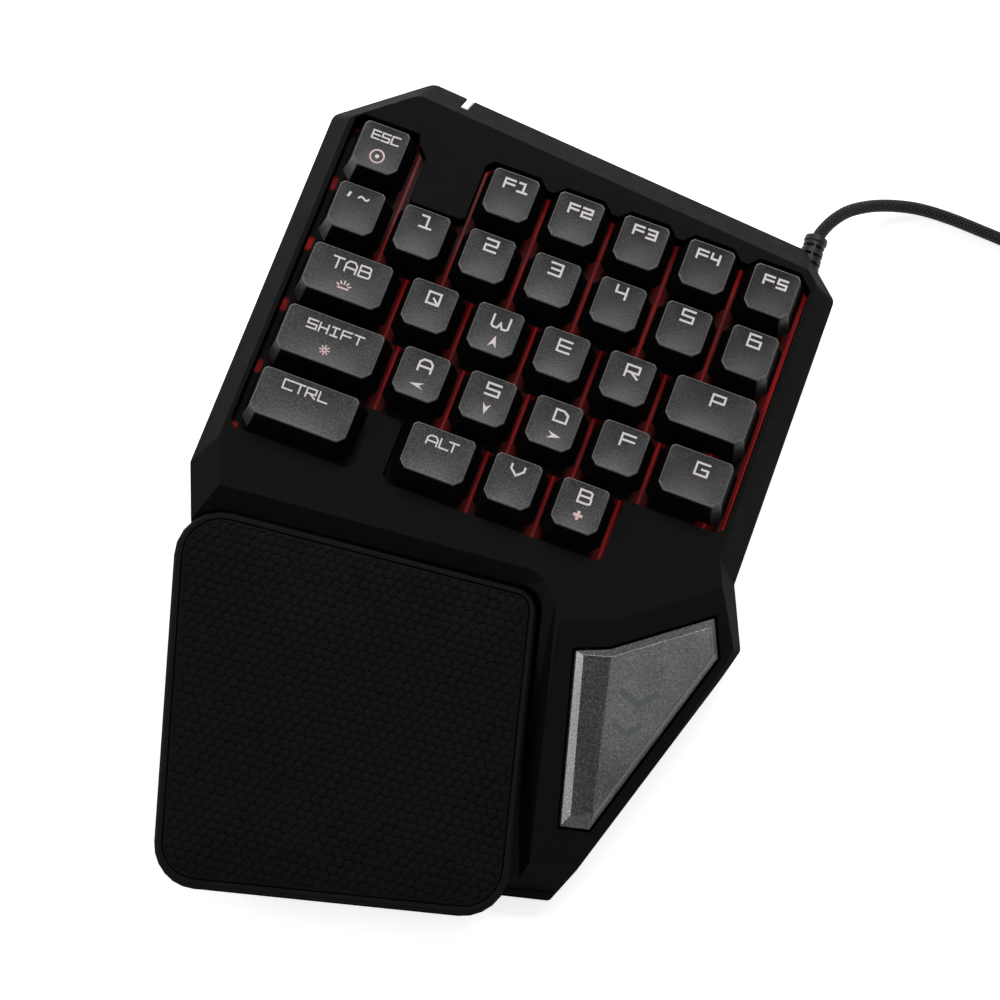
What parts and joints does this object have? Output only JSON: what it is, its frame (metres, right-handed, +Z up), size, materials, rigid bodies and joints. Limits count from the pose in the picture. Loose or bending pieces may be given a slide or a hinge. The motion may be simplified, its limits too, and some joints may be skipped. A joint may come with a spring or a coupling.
{
  "type": "gaming keypad",
  "caption": "One-hand gaming keypad: a faceted black case with a well of sprung keys lit red between, a hinged thumb key, a sliding padded palm rest and a braided cord.",
  "frame": {"origin": "middle of the underside of the feet, under the keypad without its cord", "axes": "+X along the key rows to the right, +Y to the rear, +Z up"},
  "size_m": [0.2701, 0.2596, 0.036],
  "materials": {
    "keycap": "satin dark grey tops with light legends",
    "case": "matte black moulding",
    "plate": "red plate lit from below",
    "dome_rubber": "milky silicone rubber",
    "film": "clear printed film",
    "light_guide": "clear acrylic",
    "led_strip": "red light strip",
    "steel": "plain steel",
    "board": "green circuit board",
    "lens": "white light bar",
    "thumb_silver": "silver paint with a fine grain",
    "palm_pad": "soft black pad with offset rows of low scales",
    "rubber": "matte black rubber",
    "braid": "woven black sleeve",
    "plug_steel": "bright plated steel"
  },
  "bodies": {
    "keypad_base": {"top_case": "case", "bottom_case": "case", "key_guide_plate": "plate", "dome_sheet": "dome_rubber", "contact_membrane": "film", "light_guide": "light_guide", "led_strip": "led_strip", "backing_plate": "steel", "controller_board": "board", "status_light_lens": "lens", "thumb_pivot_pin": "steel", "thumb_dome": "dome_rubber", "thumb_switch_board": "board", "case_screw_rear_left": "steel", "case_screw_rear_right": "steel", "case_screw_front_right": "steel", "case_screw_left": "steel", "foot_rear_left": "rubber", "foot_rear_right": "rubber", "foot_front_left": "rubber", "foot_front_right": "rubber", "strain_relief": "rubber", "cord_run": "braid", "cord_coil": "braid", "cord_tie": "braid", "usb_plug_grip": "rubber", "usb_plug_shell": "plug_steel"},
    "palm_rest": {"palm_rest_tray": "case", "palm_rest_pad": "palm_pad", "palm_rest_keeper": "case"},
    "thumb_key": {"thumb_key": "thumb_silver"},
    "key_esc": {"key_esc": "keycap"},
    "key_f1": {"key_f1": "keycap"},
    "key_f2": {"key_f2": "keycap"},
    "key_f3": {"key_f3": "keycap"},
    "key_f4": {"key_f4": "keycap"},
    "key_f5": {"key_f5": "keycap"},
    "key_grave": {"key_grave": "keycap"},
    "key_1": {"key_1": "keycap"},
    "key_2": {"key_2": "keycap"},
    "key_3": {"key_3": "keycap"},
    "key_4": {"key_4": "keycap"},
    "key_5": {"key_5": "keycap"},
    "key_6": {"key_6": "keycap"},
    "key_tab": {"key_tab": "keycap"},
    "key_q": {"key_q": "keycap"},
    "key_w": {"key_w": "keycap"},
    "key_e": {"key_e": "keycap"},
    "key_r": {"key_r": "keycap"},
    "key_p": {"key_p": "keycap"},
    "key_shift": {"key_shift": "keycap"},
    "key_a": {"key_a": "keycap"},
    "key_s": {"key_s": "keycap"},
    "key_d": {"key_d": "keycap"},
    "key_f": {"key_f": "keycap"},
    "key_g": {"key_g": "keycap"},
    "key_ctrl": {"key_ctrl": "keycap"},
    "key_alt": {"key_alt": "keycap"},
    "key_v": {"key_v": "keycap"},
    "key_b": {"key_b": "keycap"}
  },
  "joints": [
    {"name": "palm_rest_slide", "type": "slide", "parent": "keypad_base", "child": "palm_rest", "axis": [0.2487, -0.9686, 0], "range_m": [0, 0.012]},
    {"name": "thumb_key_press", "type": "hinge", "parent": "keypad_base", "child": "thumb_key", "pos_m": [0.04593, -0.04403, 0.01828], "axis": [-0.2624, 0.9444, 0.1983], "range_deg": [0, 4.5], "stiffness_Nm_per_rad": 0.12, "springref_deg": -2.29, "deforming": ["thumb_dome"]},
    {"name": "key_esc_press", "type": "slide", "parent": "keypad_base", "child": "key_esc", "axis": [0, 0, -1], "range_m": [0, 0.0035], "stiffness_N_per_m": 120, "springref_m": -0.001, "deforming": ["dome_sheet"]},
    {"name": "key_f1_press", "type": "slide", "parent": "keypad_base", "child": "key_f1", "axis": [0, 0, -1], "range_m": [0, 0.0035], "stiffness_N_per_m": 120, "springref_m": -0.001, "deforming": ["dome_sheet"]},
    {"name": "key_f2_press", "type": "slide", "parent": "keypad_base", "child": "key_f2", "axis": [0, 0, -1], "range_m": [0, 0.0035], "stiffness_N_per_m": 120, "springref_m": -0.001, "deforming": ["dome_sheet"]},
    {"name": "key_f3_press", "type": "slide", "parent": "keypad_base", "child": "key_f3", "axis": [0, 0, -1], "range_m": [0, 0.0035], "stiffness_N_per_m": 120, "springref_m": -0.001, "deforming": ["dome_sheet"]},
    {"name": "key_f4_press", "type": "slide", "parent": "keypad_base", "child": "key_f4", "axis": [0, 0, -1], "range_m": [0, 0.0035], "stiffness_N_per_m": 120, "springref_m": -0.001, "deforming": ["dome_sheet"]},
    {"name": "key_f5_press", "type": "slide", "parent": "keypad_base", "child": "key_f5", "axis": [0, 0, -1], "range_m": [0, 0.0035], "stiffness_N_per_m": 120, "springref_m": -0.001, "deforming": ["dome_sheet"]},
    {"name": "key_grave_press", "type": "slide", "parent": "keypad_base", "child": "key_grave", "axis": [0, 0, -1], "range_m": [0, 0.0035], "stiffness_N_per_m": 120, "springref_m": -0.001, "deforming": ["dome_sheet"]},
    {"name": "key_1_press", "type": "slide", "parent": "keypad_base", "child": "key_1", "axis": [0, 0, -1], "range_m": [0, 0.0035], "stiffness_N_per_m": 120, "springref_m": -0.001, "deforming": ["dome_sheet"]},
    {"name": "key_2_press", "type": "slide", "parent": "keypad_base", "child": "key_2", "axis": [0, 0, -1], "range_m": [0, 0.0035], "stiffness_N_per_m": 120, "springref_m": -0.001, "deforming": ["dome_sheet"]},
    {"name": "key_3_press", "type": "slide", "parent": "keypad_base", "child": "key_3", "axis": [0, 0, -1], "range_m": [0, 0.0035], "stiffness_N_per_m": 120, "springref_m": -0.001, "deforming": ["dome_sheet"]},
    {"name": "key_4_press", "type": "slide", "parent": "keypad_base", "child": "key_4", "axis": [0, 0, -1], "range_m": [0, 0.0035], "stiffness_N_per_m": 120, "springref_m": -0.001, "deforming": ["dome_sheet"]},
    {"name": "key_5_press", "type": "slide", "parent": "keypad_base", "child": "key_5", "axis": [0, 0, -1], "range_m": [0, 0.0035], "stiffness_N_per_m": 120, "springref_m": -0.001, "deforming": ["dome_sheet"]},
    {"name": "key_6_press", "type": "slide", "parent": "keypad_base", "child": "key_6", "axis": [0, 0, -1], "range_m": [0, 0.0035], "stiffness_N_per_m": 120, "springref_m": -0.001, "deforming": ["dome_sheet"]},
    {"name": "key_tab_press", "type": "slide", "parent": "keypad_base", "child": "key_tab", "axis": [0, 0, -1], "range_m": [0, 0.0035], "stiffness_N_per_m": 120, "springref_m": -0.001, "deforming": ["dome_sheet"]},
    {"name": "key_q_press", "type": "slide", "parent": "keypad_base", "child": "key_q", "axis": [0, 0, -1], "range_m": [0, 0.0035], "stiffness_N_per_m": 120, "springref_m": -0.001, "deforming": ["dome_sheet"]},
    {"name": "key_w_press", "type": "slide", "parent": "keypad_base", "child": "key_w", "axis": [0, 0, -1], "range_m": [0, 0.0035], "stiffness_N_per_m": 120, "springref_m": -0.001, "deforming": ["dome_sheet"]},
    {"name": "key_e_press", "type": "slide", "parent": "keypad_base", "child": "key_e", "axis": [0, 0, -1], "range_m": [0, 0.0035], "stiffness_N_per_m": 120, "springref_m": -0.001, "deforming": ["dome_sheet"]},
    {"name": "key_r_press", "type": "slide", "parent": "keypad_base", "child": "key_r", "axis": [0, 0, -1], "range_m": [0, 0.0035], "stiffness_N_per_m": 120, "springref_m": -0.001, "deforming": ["dome_sheet"]},
    {"name": "key_p_press", "type": "slide", "parent": "keypad_base", "child": "key_p", "axis": [0, 0, -1], "range_m": [0, 0.0035], "stiffness_N_per_m": 120, "springref_m": -0.001, "deforming": ["dome_sheet"]},
    {"name": "key_shift_press", "type": "slide", "parent": "keypad_base", "child": "key_shift", "axis": [0, 0, -1], "range_m": [0, 0.0035], "stiffness_N_per_m": 120, "springref_m": -0.001, "deforming": ["dome_sheet"]},
    {"name": "key_a_press", "type": "slide", "parent": "keypad_base", "child": "key_a", "axis": [0, 0, -1], "range_m": [0, 0.0035], "stiffness_N_per_m": 120, "springref_m": -0.001, "deforming": ["dome_sheet"]},
    {"name": "key_s_press", "type": "slide", "parent": "keypad_base", "child": "key_s", "axis": [0, 0, -1], "range_m": [0, 0.0035], "stiffness_N_per_m": 120, "springref_m": -0.001, "deforming": ["dome_sheet"]},
    {"name": "key_d_press", "type": "slide", "parent": "keypad_base", "child": "key_d", "axis": [0, 0, -1], "range_m": [0, 0.0035], "stiffness_N_per_m": 120, "springref_m": -0.001, "deforming": ["dome_sheet"]},
    {"name": "key_f_press", "type": "slide", "parent": "keypad_base", "child": "key_f", "axis": [0, 0, -1], "range_m": [0, 0.0035], "stiffness_N_per_m": 120, "springref_m": -0.001, "deforming": ["dome_sheet"]},
    {"name": "key_g_press", "type": "slide", "parent": "keypad_base", "child": "key_g", "axis": [0, 0, -1], "range_m": [0, 0.0035], "stiffness_N_per_m": 120, "springref_m": -0.001, "deforming": ["dome_sheet"]},
    {"name": "key_ctrl_press", "type": "slide", "parent": "keypad_base", "child": "key_ctrl", "axis": [0, 0, -1], "range_m": [0, 0.0035], "stiffness_N_per_m": 120, "springref_m": -0.001, "deforming": ["dome_sheet"]},
    {"name": "key_alt_press", "type": "slide", "parent": "keypad_base", "child": "key_alt", "axis": [0, 0, -1], "range_m": [0, 0.0035], "stiffness_N_per_m": 120, "springref_m": -0.001, "deforming": ["dome_sheet"]},
    {"name": "key_v_press", "type": "slide", "parent": "keypad_base", "child": "key_v", "axis": [0, 0, -1], "range_m": [0, 0.0035], "stiffness_N_per_m": 120, "springref_m": -0.001, "deforming": ["dome_sheet"]},
    {"name": "key_b_press", "type": "slide", "parent": "keypad_base", "child": "key_b", "axis": [0, 0, -1], "range_m": [0, 0.0035], "stiffness_N_per_m": 120, "springref_m": -0.001, "deforming": ["dome_sheet"]}
  ]
}
